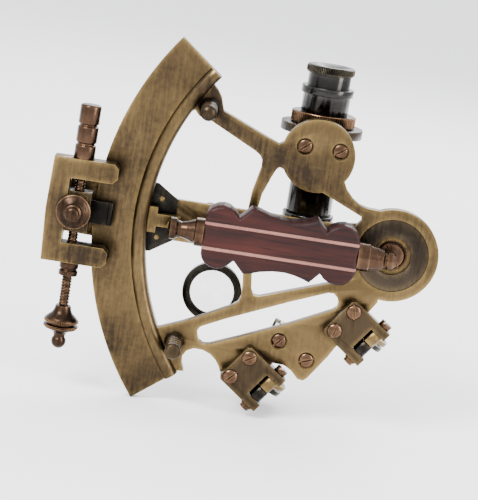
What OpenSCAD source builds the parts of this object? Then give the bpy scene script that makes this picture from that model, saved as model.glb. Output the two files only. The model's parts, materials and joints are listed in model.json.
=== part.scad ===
// Small brass nautical sextant, standing with its frame upright.
// The instrument is drawn in its own plane: x runs along the frame's midline with the arc
// at -x, y runs up along the telescope, and z points out of the back, where the grip is.
// stand() then turns that plane upright. The origin is on the index arm's pivot axis, at
// the back face of the frame.

/* [Limb] */
// Outer radius of the limb, measured from the pivot
limb_r = 100; // [96:1:104]
// Angle from the midline to either end of the limb
limb_half_angle = 37.8; // [34:0.5:40]
// Inner radius of the limb, which is also the rib's inner wall
rib_inner_r = 81.9; // [80:0.1:83]
// Outer radius of the raised rib
rib_outer_r = 86.7; // [85:0.1:88]
// Height of the rib above the frame's back face
rib_height = 2.6; // [1.5:0.1:4]
// Thickness of the frame
frame_t = 4; // [3.5:0.1:4]
// Thickness of the graduated arc on the front of the limb
scale_t = 0.5; // [0.3:0.1:0.6]

/* [Hub] */
// Radius of the frame's end round the pivot
hub_r = 15.5; // [15:0.1:17]
// Radius of the dark bearing plate let into the hub
bearing_plate_r = 12.2; // [11:0.1:13]
// Radius of the opening in the bearing plate
bearing_opening_r = 6.4; // [6:0.1:7]
// Radius of the index shaft
shaft_r = 3.5; // [3:0.1:4]
// Radial running clearance of turning pins and shafts
running_gap = 0.05; // [0.02:0.01:0.1]
// Radius of the slotted pivot screw's head
pivot_screw_r = 4.4; // [3.8:0.1:5]

/* [Grip] */
// Distance from the frame's back face to the grip's axis
grip_axis_z = 9.4; // [9:0.1:12]
// Thickness of the wooden grip
grip_t = 9.4; // [8:0.1:10]
// Place of the grip's outer end along the midline
grip_outer_x = -63; // [-64:0.5:-62]
// Place of the grip's end near the pivot
grip_inner_x = -12; // [-13:0.5:-11.5]
// Radius of the tie rod through the grip
tie_rod_r = 1.5; // [1:0.1:2]

/* [Feet] */
// Distance of the feet from the pivot along the midline
foot_x = -67.2; // [-68:0.1:-66.5]
// Distance of the feet from the midline
foot_y = 39.8; // [39:0.1:40.5]
// Height of the feet above the frame's back face
foot_height = 15.5; // [15:0.1:18]
// Radius of a foot
foot_r = 2.7; // [2.2:0.1:3]

/* [Telescope] */
// Place of the telescope's axis along the midline
scope_x = -29; // [-30:0.5:-28]
// Distance from the frame's back face to the telescope's axis, on the front side
scope_depth = 18; // [18:0.5:20]
// Outer radius of the telescope's tube
scope_tube_r = 7.7; // [7.4:0.1:8]
// Outer radius of the upper tube
scope_upper_r = 8; // [7.8:0.1:8.3]
// Outer radius of the eyepiece's sliding tube
eyepiece_r = 7.15; // [7:0.05:7.2]
// Radius of the telescope's collar
collar_r = 13.8; // [13:0.1:14]
// Radius of the knurled locking ring
lock_ring_r = 10.85; // [10.4:0.1:11.2]

/* [Index arm] */
// Width of the index arm
arm_w = 14; // [12:0.5:15]
// Thickness of the index arm
arm_t = 2; // [1.6:0.1:2.4]
// Gap between the graduated arc and the index arm
arm_gap = 0.5; // [0.4:0.1:0.8]
// Place of the magnifier's pivot along the arm
magnifier_pivot_x = -62; // [-63:0.5:-61]
// Length of the magnifier's arm
magnifier_reach = 27.8; // [27:0.1:28.5]
// Outer radius of the magnifier's ring
magnifier_r = 10.3; // [9.5:0.1:10.6]
// Radius of the magnifier's lens
magnifier_lens_r = 7.6; // [7:0.1:8]
// Angle of the magnifier's arm from +x as it is stored
magnifier_angle = -79.8; // [-85:0.1:-75]

/* [Clamp and tangent screw] */
// Outer side of the tangent bracket along the midline
bracket_outer_x = -114.8; // [-116:0.1:-114]
// Reach of the tangent bracket's arms over the limb
bracket_inner_x = -93.4; // [-95:0.1:-92]
// Half the height of the tangent bracket
bracket_half_h = 17.4; // [17:0.1:18]
// Height of each arm of the tangent bracket
bracket_arm_h = 6.5; // [6:0.1:7]
// Thickness of the tangent bracket over the limb
bracket_t = 7; // [6.5:0.1:8]
// Place of the tangent screw's axis along the midline
tangent_x = -105.4; // [-105.6:0.1:-105.2]
// Radius of the tangent screw
tangent_r = 1.8; // [1.6:0.1:2]
// Radius of the barrel above the bracket
barrel_r = 3.45; // [3.2:0.05:3.6]
// Length of the barrel above the bracket
barrel_length = 18; // [16:0.5:20]
// Radius of the clamp knob's skirt
clamp_knob_r = 5.8; // [5.4:0.1:6]

/* [Shades] */
// Length of a shade bracket along its pin
shade_plate_w = 15; // [14:0.5:16]
// Length of a shade bracket across its pin
shade_plate_h = 16.8; // [16.4:0.1:17]
// Thickness of a shade bracket
shade_plate_t = 5; // [4.8:0.1:5.4]
// Direction of the shade pins from +x
shade_pin_angle = 53.5; // [52:0.5:55]
// Radius of a shade pin
shade_pin_r = 1.2; // [1:0.1:1.4]
// Radius of a shade's knuckle
knuckle_r = 2.4; // [2.1:0.1:2.4]
// Outer radius of a shade's ring
shade_ring_r = 9; // [8.5:0.1:9.2]
// Radius of a shade's glass
shade_glass_r = 7.4; // [7:0.1:7.6]

/* [Mirrors] */
// Width of the mirrors
mirror_w = 15; // [14:0.5:16]
// Height of the mirrors above their feet
mirror_h = 18; // [17:0.5:19]
// Thickness of the mirror glass
mirror_t = 2; // [1.5:0.1:2.2]
// Angle of the horizon mirror's face from +x
horizon_mirror_angle = -19; // [-21:0.5:-17]
// Angle of the index mirror's face from +x
index_mirror_angle = 6; // [3:0.5:8]

/* [Hidden] */

round_fn = 96;
cut = 1;
mid = 0.5;
brass = [0.62, 0.50, 0.27];
dark_brass = [0.36, 0.29, 0.20];
copper = [0.45, 0.28, 0.19];
steel = [0.52, 0.52, 0.54];
blackened = [0.20, 0.20, 0.21];
wood = [0.36, 0.16, 0.14];
silver = [0.78, 0.78, 0.74];
clear_glass = [0.80, 0.84, 0.88, 0.45];
light_glass = [0.30, 0.50, 0.35, 0.55];
dark_glass = [0.35, 0.12, 0.10, 0.60];
mirror_glass = [0.86, 0.89, 0.92];

// Levels along z
front_z = -frame_t;
scale_front_z = front_z - scale_t;
arm_back_z = scale_front_z - arm_gap;
arm_front_z = arm_back_z - arm_t;
plate_depth = 1.2;
lap_gap = 0.3;

// Outline of the web between the limb and the hub, from the upper foot round to the lower
limb_seat_r = 84;
opening_seat_r = 83;
web_step = 4;
web_edge = [
    [-67.2, 48.6], [-66.4, 46.9], [-65.3, 45.9], [-63.7, 43.4], [-62.8, 40.4], [-62.4, 39.3],
    [-42.8, 31.2], [-40.4, 32.6], [-30, 30], [-19.2, 21.6], [-18.2, 19.4], [-15.8, 16.8],
    [-13.2, 15.1], [-10.4, 14.4], [-6, 14.2], [-2, -14], [-2.2, -16.4], [-4.6, -20.2],
    [-13.8, -34], [-15.5, -37.1], [-21.3, -45.6], [-22.6, -46.7], [-24.4, -46.5],
    [-27, -43.9], [-29.6, -42.4], [-33.4, -42.2], [-42, -53.4], [-49, -48.4], [-50.5, -48],
    [-51.2, -46.3], [-52.6, -44.2], [-54.6, -42.5], [-57.4, -41.4], [-60.4, -41.3],
    [-62.7, -42.5], [-63.9, -44.6], [-63.7, -47.2], [-62.7, -49.6], [-64.9, -49.8], [-67.4, -50]
];
seat_half_angle = 36;
limb_edge = [for (a = [-seat_half_angle : web_step : seat_half_angle])
    [-limb_seat_r * cos(a), limb_seat_r * sin(a)]];

// Sector opening between the limb and the upright strut
sector_edge = [
    [-71.8, 38.3], [-70.4, 36.7], [-68.6, 35.9], [-66.4, 35.7], [-50.2, 27.9], [-48.4, 26.7],
    [-47.5, 25.2], [-47.4, 22.4], [-49.2, 14], [-49.6, 8], [-49.3, 0], [-48.4, -10],
    [-47.6, -17], [-47.4, -21.4], [-48, -23.4], [-50, -25], [-60.2, -30.4], [-65.5, -33],
    [-73, -36.1]
];
sector_arc = [for (a = [-26 : web_step : 28])
    [-opening_seat_r * cos(a), opening_seat_r * sin(a)]];

// Opening between the upright strut and the hub
middle_edge = [
    [-41.4, 23.7], [-36.7, 22], [-12, 11.4], [-11, 0], [-12, -10], [-31.5, -17],
    [-41.6, -20.6], [-43.4, -20.4], [-44.4, -18.6], [-45.4, -10], [-46.3, 0],
    [-46.6, 8], [-45.8, 14], [-43.6, 20], [-42.4, 22.8]
];

// Long slot between the lower strut and the wide lower arm
slot_edge = [
    [-59.4, -33.7], [-58, -32.9], [-51.5, -29.7], [-31, -20.6], [-18.8, -15.6], [-17, -15.6],
    [-15.6, -16.8], [-14.9, -18.6], [-15.2, -20.3], [-16.6, -21.5], [-29.8, -28.1],
    [-46.3, -35.4], [-55.6, -39.3], [-57.6, -39.5], [-59.2, -38.5], [-60, -36.7], [-60.1, -35]
];

// Telescope lobe and its screws
lobe_x = -29.4;
lobe_y = 29.2;
lobe_r = 12.2;
carrier_screw_y = 31.8;
carrier_screw_dx = 5.9;
carrier_screw_x = -28.3;
screw_head_r = 2.6;
screw_head_h = 1.1;
screw_recess = 0.35;
screw_shank_r = 1.2;
slot_w = 0.6;
slot_depth = 0.6;

// Stub that carries the grip's outer post
stub_base_x = -79;
stub_base_half_h = 4.3;
stub_half_h = 2.1;
stub_end_x = -71.3;

// Grip outline, one side, from the outer end to the inner end
grip_half_edge = [
    [-63, 6.2], [-62.6, 7.8], [-61.4, 9.3], [-59.6, 10.3], [-57.6, 10.7], [-55.6, 10.3],
    [-53.8, 9.1], [-52, 7.2], [-48.4, 11], [-46, 10.6], [-43, 9.6], [-39, 8.8], [-35, 8.6],
    [-31.4, 9.1], [-28.6, 9.9], [-26.6, 10.7], [-23.4, 7.1], [-22, 8.7], [-20, 9.8],
    [-17.8, 10.2], [-15.6, 9.8], [-13.8, 8.7], [-12.5, 7], [-12, 5]
];

post_r = 2.2;
post_x = -73;
inner_post_x = -9.3;
inner_post_r = 1.9;
spigot_r = 1.2;
spigot_depth = 2.4;
rim_r = 3.65;

// Shade brackets: centre of each plate
horizon_plate_at = [-39.75, -47.5];
index_plate_at = [-7.9, -26.7];
shade_pin_v = 5.4;
shade_slot_half = 4.5;
shade_slot_v = 2.6;
shade_screw_u = 4.5;
shade_screw_v = -5.6;
shade_pin_z = shade_plate_t * mid;
shade_centre_z = -17.5;
shade_ring_t = 1.6;
shade_pin_half = 9.4;
knuckle_gap = 0.15;
glass_t = 1;

// Telescope levels along y
scope_bottom_y = 5;
collar_y = 34.6;
collar_t = 3;
lock_ring_t = 3.7;
lock_ring_y = collar_y + collar_t + lap_gap;
upper_top_y = 50.4;
upper_ring_y = 47.9;
upper_ring_r = 8.8;
eyepiece_top_y = 57.6;
eyepiece_cap_y = 54.9;
eyepiece_cap_r = 8.15;
eyepiece_bottom_y = 41;
eyepiece_seat_y = 36.6;
tube_bore_r = 6.4;
objective_r = 8.7;
objective_t = 2;

// Tangent screw levels
tangent_z = 3.7;
tangent_bore_r = tangent_r + running_gap;
window_x = -108.9;
window_half_h = bracket_half_h - bracket_arm_h;
block_half_h = 6.7;
limb_clear_x = -101;
collar_drop = 4.6;
knob_top_y = -32.4;
clamp_x = -106.2;
knob_base_z = bracket_t + lap_gap;

// The horizon mirror stands on the wide lower arm, the index mirror on the pivot
horizon_mirror_at = [-27, -35];
magnifier_low_z = -30.3;
magnifier_high_z = -28.1;
mirror_foot_t = 1.6;
mirror_back_t = 1.6;
clip_t = 0.7;

module stand() {
    rotate([90, 0, 0]) children();
}

module disc(r, z0, z1) {
    translate([0, 0, z0]) cylinder(h = z1 - z0, r = r, $fn = round_fn);
}

module slab(edge, z0, z1) {
    translate([0, 0, z0]) linear_extrude(height = z1 - z0) polygon(edge);
}

module block(x0, x1, y0, y1, z0, z1) {
    translate([x0, y0, z0]) cube([x1 - x0, y1 - y0, z1 - z0]);
}

// A body of revolution about the y axis direction: profile points are [radius, y]
module turned_y(profile) {
    rotate([-90, 0, 0]) rotate_extrude($fn = round_fn) polygon([for (p = profile) [p[0], p[1]]]);
}

// A body of revolution about the x axis direction: profile points are [radius, x]
module turned_x(profile) {
    rotate([0, 90, 0]) rotate_extrude($fn = round_fn) polygon([for (p = profile) [p[0], p[1]]]);
}

// Slotted screw with its head on z = 0 and its shank running down
module slotted_screw(head_r, head_h, shank_r, length, turn) {
    rotate([0, 0, turn]) difference() {
        union() {
            rotate_extrude($fn = round_fn) polygon([
                [0, 0], [head_r, 0], [head_r, head_h * mid], [head_r * 0.72, head_h], [0, head_h]
            ]);
            disc(shank_r, -length, 0);
        }
        block(-head_r - cut, head_r + cut, -slot_w * mid, slot_w * mid, head_h - slot_depth, head_h + cut);
    }
}

module limb() {
    rib_round = 2.3;
    rib_arc = [for (a = [90 : -15 : 0])
        [rib_outer_r - rib_round + rib_round * cos(a), rib_height - rib_round + rib_round * sin(a)]];
    rib_back_arc = [for (a = [180 : -15 : 90])
        [rib_inner_r + rib_round + rib_round * cos(a), rib_height - rib_round + rib_round * sin(a)]];
    rotate([0, 0, 180 - limb_half_angle])
        rotate_extrude(angle = 2 * limb_half_angle, $fn = 2 * round_fn)
            polygon(concat(
                [[rib_inner_r, front_z]], rib_back_arc, rib_arc,
                [[rib_outer_r, 0], [limb_r, 0], [limb_r, front_z]]
            ));
}

module frame_outline() {
    difference() {
        polygon(concat(web_edge, limb_edge));
        polygon(concat(sector_edge, sector_arc));
        polygon(middle_edge);
        polygon(slot_edge);
    }
}

module shade_screw_places() {
    for (at = [horizon_plate_at, index_plate_at]) {
        for (side = [-1, 1]) {
            on_plate(at) translate([side * shade_screw_u, shade_screw_v, 0]) children();
        }
    }
}

module horizon_screw_places() {
    translate([-32.6, -34.5, 0]) children();
    translate([-22.5, -39.7, 0]) children();
}

module carrier_screw_places() {
    for (side = [-1, 1]) {
        translate([carrier_screw_x + side * carrier_screw_dx, carrier_screw_y, 0]) children();
    }
}

module frame() {
    bush_r = shaft_r + 1.6;
    color(brass) stand() difference() {
        union() {
            limb();
            translate([0, 0, front_z]) linear_extrude(height = frame_t) frame_outline();
            disc(hub_r, front_z, 0);
            translate([lobe_x, lobe_y, 0]) disc(lobe_r, front_z, 0);
            block(-rib_inner_r - cut, stub_base_x, -stub_base_half_h, stub_base_half_h, front_z + cut, 0);
            block(stub_base_x - cut, stub_end_x, -stub_half_h, stub_half_h, front_z + cut, 0);
        }
        disc(bearing_plate_r, -plate_depth, cut);
        disc(bush_r, front_z - cut, cut);
        carrier_screw_places() disc(screw_shank_r, front_z - cut, cut);
        carrier_screw_places() disc(screw_head_r + screw_recess, -screw_head_h * mid, cut);
        shade_screw_places() disc(screw_shank_r, front_z - cut, cut);
        horizon_screw_places() disc(screw_shank_r, front_z - cut, cut);
        horizon_screw_places() disc(screw_head_r + screw_recess, -screw_head_h * mid, cut);
        translate([post_x, 0, 0]) disc(spigot_r, -spigot_depth, cut);
        translate([inner_post_x, 0, 0]) disc(spigot_r, -spigot_depth, cut);
        for (side = [-1, 1]) {
            translate([foot_x, side * foot_y, 0]) disc(spigot_r, -spigot_depth, cut);
        }
    }
}

module scale_arc() {
    scale_inner_r = 88;
    scale_outer_r = 98.5;
    scale_half_angle = limb_half_angle - 1;
    color(silver) stand() rotate([0, 0, 180 - scale_half_angle])
        rotate_extrude(angle = 2 * scale_half_angle, $fn = 2 * round_fn)
            polygon([
                [scale_inner_r, scale_front_z], [scale_outer_r, scale_front_z],
                [scale_outer_r, front_z], [scale_inner_r, front_z]
            ]);
}

module bearing_bush() {
    bush_r = shaft_r + 1.6;
    color(copper) stand() difference() {
        disc(bush_r, front_z, -plate_depth - 0.2);
        disc(shaft_r + running_gap, front_z - cut, cut);
    }
}

module bearing_plate() {
    face_z = -0.2;
    color(blackened) stand() difference() {
        disc(bearing_plate_r, -plate_depth, face_z);
        disc(bearing_opening_r, -plate_depth - cut, cut);
        translate([inner_post_x, 0, 0]) disc(spigot_r, -plate_depth - cut, cut);
    }
}

module foot(tip) {
    base_r = 3.3;
    groove_r = 2.1;
    rotate_extrude($fn = round_fn) polygon(concat(
        [[0, 0], [base_r, 0], [base_r, 1.4], [foot_r, 2.2], [foot_r, 6.4], [groove_r, 6.8],
         [groove_r, 7.4], [foot_r, 7.8], [foot_r, 9.2], [groove_r, 9.6], [groove_r, 10.2],
         [foot_r, 10.6], [foot_r, 11.8], [groove_r, 12.2], [groove_r, 12.8], [foot_r, 13.2]],
        tip
    ));
    disc(spigot_r, -spigot_depth, cut);
}

module upper_foot() {
    pad_r = 1;
    dome = [[foot_r, 14], [foot_r * 0.8, 14.9], [pad_r, foot_height], [0, foot_height]];
    color(dark_brass) stand() translate([foot_x, foot_y, 0]) foot(dome);
}

module lower_foot() {
    flat = [[foot_r, 14.9], [foot_r * 0.8, foot_height], [0, foot_height]];
    color(dark_brass) stand() translate([foot_x, -foot_y, 0]) foot(flat);
}

module grip() {
    low_edge = [for (i = [len(grip_half_edge) - 1 : -1 : 0]) [grip_half_edge[i][0], -grip_half_edge[i][1]]];
    color(wood) stand() difference() {
        slab(concat(grip_half_edge, low_edge), grip_axis_z - grip_t * mid, grip_axis_z + grip_t * mid);
        translate([grip_outer_x - cut, 0, grip_axis_z]) rotate([0, 90, 0])
            cylinder(h = grip_inner_x - grip_outer_x + 2 * cut, r = tie_rod_r, $fn = round_fn);
    }
}

module grip_tie_rod() {
    rod_start_x = -70;
    rod_end_x = -5;
    color(steel) stand() translate([rod_start_x, 0, grip_axis_z]) rotate([0, 90, 0])
        cylinder(h = rod_end_x - rod_start_x, r = tie_rod_r, $fn = round_fn);
}

module grip_outer_ferrule() {
    color(copper) stand() difference() {
        translate([0, 0, grip_axis_z]) turned_x([
            [0, -74.7], [2.4, -74.7], [rim_r, -74], [rim_r, -72.2], [2.9, -71.4], [2.6, -70.4],
            [3, -68.6], [4.1, -66], [4.7, -65.6], [4.7, -63], [0, -63]
        ]);
        translate([post_x, 0, 0]) disc(spigot_r, 0, grip_axis_z);
        translate([-70, 0, grip_axis_z]) rotate([0, 90, 0]) cylinder(h = 8, r = tie_rod_r, $fn = round_fn);
    }
}

module grip_inner_ferrule() {
    color(copper) stand() difference() {
        translate([0, 0, grip_axis_z]) turned_x([
            [0, -12], [4.75, -12], [4.75, -8.4], [4.5, -8.1], [3.5, -3.6], [2.7, -2.9],
            [2.7, -2.5], [3.1, -1.9], [3.1, -0.4], [2.2, 0.5], [0, 0.7]
        ]);
        translate([inner_post_x, 0, 0]) disc(spigot_r, 0, grip_axis_z);
        translate([-13, 0, grip_axis_z]) rotate([0, 90, 0]) cylinder(h = 8, r = tie_rod_r, $fn = round_fn);
    }
}

module grip_outer_post() {
    post_top_z = grip_axis_z - rim_r;
    color(brass) stand() translate([post_x, 0, 0]) union() {
        difference() {
            disc(post_r, 0, post_top_z + mid);
            translate([0, 0, grip_axis_z]) rotate([0, 90, 0])
                cylinder(h = 4 * post_r, r = rim_r, center = true, $fn = round_fn);
        }
        disc(spigot_r, -spigot_depth, grip_axis_z - tie_rod_r - cut);
    }
}

module grip_inner_post() {
    inner_ferrule_r = 4.75;
    color(brass) stand() translate([inner_post_x, 0, 0]) union() {
        difference() {
            disc(inner_post_r, -0.2, grip_axis_z - inner_ferrule_r + mid);
            translate([0, 0, grip_axis_z]) rotate([0, 90, 0])
                cylinder(h = 4 * inner_post_r, r = inner_ferrule_r, center = true, $fn = round_fn);
        }
        disc(spigot_r, -spigot_depth, grip_axis_z - tie_rod_r - cut);
    }
}

module on_scope_axis() {
    stand() translate([scope_x, 0, -scope_depth]) children();
}

module telescope_carrier() {
    foot_half_w = 10;
    foot_low_y = 28;
    foot_t = 3;
    color(dark_brass) difference() {
        union() {
            on_scope_axis() turned_y([[0, collar_y], [collar_r, collar_y], [collar_r, collar_y + collar_t],
                [0, collar_y + collar_t]]);
            stand() block(scope_x - foot_half_w, scope_x + foot_half_w, foot_low_y, collar_y + cut,
                front_z - foot_t, front_z);
        }
        on_scope_axis() turned_y([[0, collar_y - cut], [scope_tube_r, collar_y - cut],
            [scope_tube_r, collar_y + collar_t + cut], [0, collar_y + collar_t + cut]]);
        stand() block(scope_x - 2 * collar_r, scope_x + 2 * collar_r, 0, 2 * collar_y, front_z, 0);
        stand() carrier_screw_places() disc(screw_shank_r, front_z - foot_t - cut, cut);
    }
}

module carrier_screws() {
    color(copper) stand() carrier_screw_places() translate([0, 0, -screw_head_h * mid])
        slotted_screw(screw_head_r, screw_head_h, screw_shank_r, 6, 40);
}

module telescope_tube() {
    step_y = lock_ring_y + lock_ring_t + lap_gap;
    color(steel) on_scope_axis() turned_y([
        [tube_bore_r, scope_bottom_y + objective_t], [scope_tube_r, scope_bottom_y + objective_t],
        [scope_tube_r, step_y], [scope_upper_r, step_y], [scope_upper_r, upper_ring_y],
        [upper_ring_r, upper_ring_y], [upper_ring_r, upper_top_y],
        [eyepiece_r + running_gap, upper_top_y], [eyepiece_r + running_gap, eyepiece_seat_y],
        [tube_bore_r, eyepiece_seat_y]
    ]);
}

module objective_ring() {
    color(steel) on_scope_axis() turned_y([
        [tube_bore_r, scope_bottom_y], [objective_r - 0.4, scope_bottom_y],
        [objective_r, scope_bottom_y + 0.4], [objective_r, scope_bottom_y + objective_t],
        [tube_bore_r, scope_bottom_y + objective_t]
    ]);
}

module objective_lens() {
    color(clear_glass) on_scope_axis() turned_y([
        [0, scope_bottom_y + 0.4], [4, scope_bottom_y + 0.6], [tube_bore_r, scope_bottom_y + 1.2],
        [tube_bore_r, scope_bottom_y + 3], [0, scope_bottom_y + 3]
    ]);
}

module telescope_lock_ring() {
    color(dark_brass) on_scope_axis() turned_y([
        [scope_tube_r + running_gap, lock_ring_y], [lock_ring_r - 0.3, lock_ring_y],
        [lock_ring_r, lock_ring_y + 0.3], [lock_ring_r, lock_ring_y + lock_ring_t - 0.3],
        [lock_ring_r - 0.3, lock_ring_y + lock_ring_t], [scope_tube_r + running_gap, lock_ring_y + lock_ring_t]
    ]);
}

module eyepiece_tube() {
    wall = 1.2;
    color(steel) on_scope_axis() turned_y([
        [eyepiece_r - wall, eyepiece_bottom_y], [eyepiece_r, eyepiece_bottom_y],
        [eyepiece_r, eyepiece_cap_y], [eyepiece_r - wall, eyepiece_cap_y]
    ]);
}

module eyepiece_cap() {
    sight_r = 3.2;
    seat_r = 5;
    color(blackened) on_scope_axis() turned_y([
        [seat_r, eyepiece_cap_y], [eyepiece_cap_r, eyepiece_cap_y], [eyepiece_cap_r, eyepiece_top_y - 0.3],
        [eyepiece_cap_r - 0.3, eyepiece_top_y], [seat_r + 1.4, eyepiece_top_y], [sight_r, eyepiece_top_y - 1],
        [sight_r, eyepiece_cap_y + 0.6], [seat_r, eyepiece_cap_y + 0.6]
    ]);
}

module eyepiece_lens() {
    seat_r = 5;
    color(clear_glass) on_scope_axis() turned_y([
        [0, eyepiece_cap_y - 2], [seat_r, eyepiece_cap_y - 1.4], [seat_r, eyepiece_cap_y + 0.6],
        [0, eyepiece_cap_y + 0.6]
    ]);
}

// Mirror pieces stand on z = top and rise away from the frame, with the face on y = 0
module mirror_bracket(top, foot_low, foot_high) {
    lip = 1.4;
    difference() {
        union() {
            block(-mirror_w * mid, mirror_w * mid, foot_low, foot_high, top - mirror_foot_t, top);
            block(-mirror_w * mid, mirror_w * mid, -mirror_t - mirror_back_t, -mirror_t,
                top - mirror_h - lip, top - mirror_foot_t + mid);
        }
        translate([0, -mirror_t - cut, top - mirror_h * 0.55]) rotate([90, 0, 0])
            cylinder(h = 2 * mirror_t, r = 3, center = true, $fn = round_fn);
    }
}

module mirror_plate(top) {
    block(-mirror_w * mid + cut * mid, mirror_w * mid - cut * mid, -mirror_t, 0, top - mirror_h, top - mirror_foot_t);
}

// A clip over the glass: a top bar with two short fingers down the face
module mirror_clip(top) {
    finger = 3;
    clip_top = top - mirror_h - 1.4;
    union() {
        block(-mirror_w * mid, mirror_w * mid, -mirror_t - mirror_back_t, clip_t, clip_top - clip_t, clip_top);
        for (side = [-1, 1]) {
            block(side * mirror_w * 0.3 - 1, side * mirror_w * 0.3 + 1, 0, clip_t, clip_top, clip_top + finger);
        }
    }
}

module on_horizon_mirror() {
    stand() translate([horizon_mirror_at[0], horizon_mirror_at[1], 0]) rotate([0, 0, horizon_mirror_angle]) children();
}

module on_index_mirror() {
    stand() rotate([0, 0, 180 + index_mirror_angle]) children();
}

module horizon_mirror_bracket() {
    color(brass) difference() {
        on_horizon_mirror() mirror_bracket(front_z, -5.4, 3.6);
        stand() horizon_screw_places() disc(screw_shank_r, -20, cut);
    }
}

module horizon_mirror_clip() {
    color(silver) on_horizon_mirror() mirror_clip(front_z);
}

module horizon_mirror_glass() {
    color(mirror_glass) on_horizon_mirror() mirror_plate(front_z);
}

module horizon_mirror_screws() {
    color(copper) stand() horizon_screw_places() translate([0, 0, -screw_head_h * mid])
        slotted_screw(screw_head_r, screw_head_h, screw_shank_r, frame_t + mirror_foot_t - screw_head_h * mid, -50);
}

// Shade brackets: u runs along the pin, v runs outwards across it
module on_plate(at) {
    translate([at[0], at[1], 0]) multmatrix([
        [cos(shade_pin_angle), sin(shade_pin_angle), 0, 0],
        [sin(shade_pin_angle), -cos(shade_pin_angle), 0, 0],
        [0, 0, 1, 0],
        [0, 0, 0, 1]
    ]) children();
}

module along_pin(u0, u1, r) {
    translate([u0, shade_pin_v, shade_pin_z]) rotate([0, 90, 0]) cylinder(h = u1 - u0, r = r, $fn = round_fn);
}

module shade_bracket(at) {
    corner = 1;
    half_w = shade_plate_w * mid;
    half_h = shade_plate_h * mid;
    stand() on_plate(at) difference() {
        slab([
            [-half_w, -half_h + corner], [-half_w + corner, -half_h], [half_w - corner, -half_h],
            [half_w, -half_h + corner], [half_w, half_h], [shade_slot_half, half_h],
            [shade_slot_half, shade_slot_v], [-shade_slot_half, shade_slot_v],
            [-shade_slot_half, half_h], [-half_w, half_h]
        ], 0, shade_plate_t);
        along_pin(-half_w - cut, half_w + cut, shade_pin_r);
        for (side = [-1, 1]) {
            translate([side * shade_screw_u, shade_screw_v, 0]) disc(screw_shank_r, -cut, shade_plate_t + cut);
        }
    }
}

module shade_pin(at) {
    half_w = shade_plate_w * mid;
    nut_r = 2.1;
    washer_r = 1.7;
    stand() on_plate(at) difference() {
        union() {
            along_pin(-shade_pin_half, shade_pin_half, shade_pin_r);
            along_pin(half_w, half_w + 1.9, nut_r);
            along_pin(-half_w - 0.8, -half_w, nut_r);
            along_pin(-half_w - 1.9, -half_w - 0.8, washer_r);
        }
        translate([shade_pin_half, shade_pin_v, shade_pin_z]) cube([1.2, slot_w, 2 * nut_r + cut], center = true);
    }
}

module horizon_shade_bracket() {
    color(dark_brass) shade_bracket(horizon_plate_at);
}

module index_shade_bracket() {
    color(dark_brass) shade_bracket(index_plate_at);
}

module horizon_shade_pin() {
    color(copper) shade_pin(horizon_plate_at);
}

module index_shade_pin() {
    color(copper) shade_pin(index_plate_at);
}

module shade_bracket_screws() {
    color(copper) stand() shade_screw_places() translate([0, 0, shade_plate_t])
        slotted_screw(screw_head_r, screw_head_h, screw_shank_r, shade_plate_t + frame_t - cut, 55);
}

// One shade: side is -1 for the half of the slot at -u and 1 for the half at +u
module shade(at, side) {
    u_low = side < 0 ? -shade_slot_half + knuckle_gap : knuckle_gap;
    u_high = side < 0 ? -knuckle_gap : shade_slot_half - knuckle_gap;
    plate_low = side < 0 ? -shade_ring_t - 0.4 : 0.4;
    stem_half_w = 1.8;
    stand() on_plate(at) difference() {
        union() {
            along_pin(u_low, u_high, knuckle_r);
            block(plate_low, plate_low + shade_ring_t, shade_pin_v - stem_half_w, shade_pin_v + stem_half_w,
                shade_centre_z + shade_glass_r, shade_pin_z);
            translate([plate_low, shade_pin_v, shade_centre_z]) rotate([0, 90, 0])
                cylinder(h = shade_ring_t, r = shade_ring_r, $fn = round_fn);
        }
        along_pin(-shade_plate_w, shade_plate_w, shade_pin_r + running_gap);
        translate([plate_low - cut, shade_pin_v, shade_centre_z]) rotate([0, 90, 0])
            cylinder(h = shade_ring_t + 2 * cut, r = shade_glass_r, $fn = round_fn);
    }
}

module shade_glass(at, side) {
    plate_low = side < 0 ? -shade_ring_t - 0.4 : 0.4;
    stand() on_plate(at) translate([plate_low + 0.3, shade_pin_v, shade_centre_z]) rotate([0, 90, 0])
        cylinder(h = glass_t, r = shade_glass_r, $fn = round_fn);
}

module horizon_shade_light() {
    color(brass) shade(horizon_plate_at, 1);
}

module horizon_shade_dark() {
    color(blackened) shade(horizon_plate_at, -1);
}

module index_shade_light() {
    color(brass) shade(index_plate_at, 1);
}

module index_shade_dark() {
    color(blackened) shade(index_plate_at, -1);
}

module horizon_light_glass() {
    color(light_glass) shade_glass(horizon_plate_at, 1);
}

module horizon_dark_glass() {
    color(dark_glass) shade_glass(horizon_plate_at, -1);
}

module index_light_glass() {
    color(light_glass) shade_glass(index_plate_at, 1);
}

module index_dark_glass() {
    color(dark_glass) shade_glass(index_plate_at, -1);
}

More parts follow.
